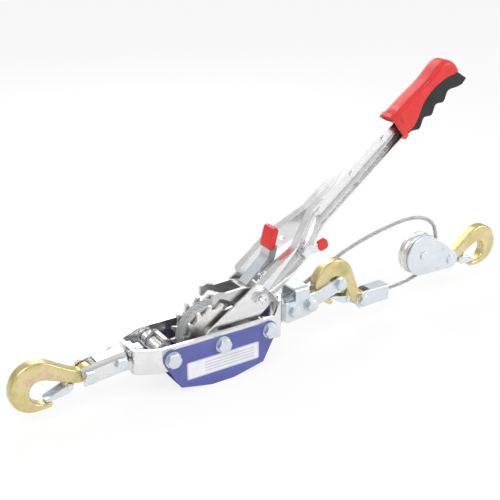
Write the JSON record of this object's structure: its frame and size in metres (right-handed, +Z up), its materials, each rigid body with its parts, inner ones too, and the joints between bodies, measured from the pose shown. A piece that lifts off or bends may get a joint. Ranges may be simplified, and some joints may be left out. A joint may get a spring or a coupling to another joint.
{
  "type": "come along winch",
  "caption": "Hand-operated cable puller with a ratchet drum, a pressed lever handle, swivel hook, pulley block hook and doubled wire rope.",
  "frame": {"origin": "centre of the flat under the guard that the winch rests on, below the drum axle", "axes": "+X along the frame from the swivel hook towards the pulley block, +Y along the drum axle away from the near side, +Z up"},
  "size_m": [0.7616, 0.0941, 0.3577],
  "materials": {
    "chromed_steel": "bright plated",
    "zinc_steel": "blue-white zinc plate",
    "yellow_zinc_steel": "yellow zinc plate",
    "dark_steel": "oiled spring steel",
    "ratchet_steel": "bright zinc plate",
    "blue_paint": "satin powder coat",
    "label_film": "printed film",
    "wire_rope": "galvanised strands",
    "red_plastic": "moulded",
    "black_rubber": "textured"
  },
  "bodies": {
    "frame": {"frame_strap": "chromed_steel", "nose_plate": "chromed_steel", "guard_channel": "blue_paint", "guard_label": "label_film", "cross_bolts": "zinc_steel", "drum_axle": "zinc_steel", "frame_washers": "zinc_steel", "rear_sleeve": "chromed_steel", "rear_fork": "zinc_steel", "fork_bolt": "zinc_steel", "link_pivot_bolt": "zinc_steel", "fork_washers": "zinc_steel", "cable_guide": "zinc_steel", "axle_spacers": "chromed_steel", "holding_spring": "chromed_steel", "cable": "wire_rope", "cable_socket": "zinc_steel", "socket_bolt": "zinc_steel", "block_cheek_near": "zinc_steel", "block_cheek_far": "zinc_steel", "sheave_axle": "zinc_steel", "block_hook_rivet": "zinc_steel", "block_spacers": "zinc_steel"},
    "drum": {"drum_core": "ratchet_steel", "ratchet_wheel_near": "ratchet_steel", "ratchet_wheel_far": "ratchet_steel", "cable_winding": "wire_rope"},
    "handle": {"handle_half_near": "chromed_steel", "handle_half_far": "chromed_steel", "handle_rivets": "chromed_steel", "pawl_pivot_bolt": "chromed_steel", "grip_shell": "red_plastic", "grip_insert": "black_rubber", "spring_anchor_pin": "chromed_steel", "pawl_spring": "dark_steel"},
    "drive_pawl": {"drive_pawl": "dark_steel", "pawl_sleeve": "dark_steel", "pawl_lever": "zinc_steel", "pawl_lever_cap": "red_plastic"},
    "trip_lever": {"trip_lever": "zinc_steel", "trip_lever_cap": "red_plastic"},
    "holding_pawl": {"holding_pawl": "dark_steel"},
    "swivel": {"swivel_bolt": "chromed_steel", "swivel_nut": "zinc_steel", "swivel_pivot_bolt": "zinc_steel"},
    "front_clevis": {"front_clevis": "chromed_steel", "front_hook_bolt": "zinc_steel"},
    "front_hook": {"front_hook": "yellow_zinc_steel", "front_latch_rivet": "zinc_steel"},
    "front_latch": {"front_hook_latch": "zinc_steel"},
    "link": {"link_plates": "zinc_steel", "link_end_bolt": "zinc_steel"},
    "middle_hook": {"middle_hook": "yellow_zinc_steel", "middle_latch_rivet": "zinc_steel"},
    "middle_latch": {"middle_hook_latch": "zinc_steel"},
    "sheave": {"sheave": "ratchet_steel"},
    "block_hook": {"block_hook": "yellow_zinc_steel", "block_latch_rivet": "zinc_steel"},
    "block_latch": {"block_hook_latch": "zinc_steel"}
  },
  "joints": [
    {"name": "drum_turn", "type": "hinge", "parent": "frame", "child": "drum", "pos_m": [0, 0, 0.052], "axis": [0, 1, 0], "continuous": true},
    {"name": "handle_swing", "type": "hinge", "parent": "frame", "child": "handle", "pos_m": [0, 0, 0.052], "axis": [0, -1, 0], "range_deg": [0, 67.5]},
    {"name": "drive_pawl_pivot", "type": "hinge", "parent": "handle", "child": "drive_pawl", "pos_m": [0.06108, 0, 0.09401], "axis": [0, -1, 0], "range_deg": [0, 7], "stiffness_Nm_per_rad": 0.3, "springref_deg": -17.19},
    {"name": "trip_lever_pivot", "type": "hinge", "parent": "handle", "child": "trip_lever", "pos_m": [0.12464, 0, 0.14748], "axis": [0, -1, 0], "range_deg": [-12, 20]},
    {"name": "holding_pawl_pivot", "type": "hinge", "parent": "frame", "child": "holding_pawl", "pos_m": [-0.07, 0, 0.052], "axis": [0, -1, 0], "range_deg": [0, 14.5], "stiffness_Nm_per_rad": 0.3, "springref_deg": -17.19},
    {"name": "swivel_turn", "type": "hinge", "parent": "frame", "child": "swivel", "pos_m": [-0.1255, 0, 0.052], "axis": [1, 0, 0], "continuous": true},
    {"name": "clevis_pivot", "type": "hinge", "parent": "swivel", "child": "front_clevis", "pos_m": [-0.1255, 0, 0.052], "axis": [0, -1, 0], "range_deg": [-10, 15]},
    {"name": "front_hook_pivot", "type": "hinge", "parent": "front_clevis", "child": "front_hook", "pos_m": [-0.16628, 0, 0.04771], "axis": [0, -1, 0], "range_deg": [-12, 15]},
    {"name": "front_latch_pivot", "type": "hinge", "parent": "front_hook", "child": "front_latch", "pos_m": [-0.18966, 0, 0.03806], "axis": [0, 1, 0], "range_deg": [0, 22], "stiffness_Nm_per_rad": 0.02, "springref_deg": -11.46},
    {"name": "link_pivot", "type": "hinge", "parent": "frame", "child": "link", "pos_m": [0.1498, 0, 0.0564], "axis": [0, -1, 0], "range_deg": [-4, 0]},
    {"name": "middle_hook_pivot", "type": "hinge", "parent": "frame", "child": "middle_hook", "pos_m": [0.244, 0, 0.037], "axis": [0, -1, 0], "range_deg": [-8, 0.3]},
    {"name": "middle_latch_pivot", "type": "hinge", "parent": "middle_hook", "child": "middle_latch", "pos_m": [0.21951, 0, 0.04336], "axis": [0, 1, 0], "range_deg": [0, 22], "stiffness_Nm_per_rad": 0.02, "springref_deg": -11.46},
    {"name": "sheave_turn", "type": "hinge", "parent": "frame", "child": "sheave", "pos_m": [0.354, 0, 0.078], "axis": [0, 1, 0], "continuous": true},
    {"name": "block_hook_pivot", "type": "hinge", "parent": "frame", "child": "block_hook", "pos_m": [0.408, 0, 0.06], "axis": [0, -1, 0], "range_deg": [-10, 10]},
    {"name": "block_latch_pivot", "type": "hinge", "parent": "block_hook", "child": "block_latch", "pos_m": [0.43214, 0, 0.05242], "axis": [0, -1, 0], "range_deg": [0, 22], "stiffness_Nm_per_rad": 0.02, "springref_deg": -11.46}
  ]
}
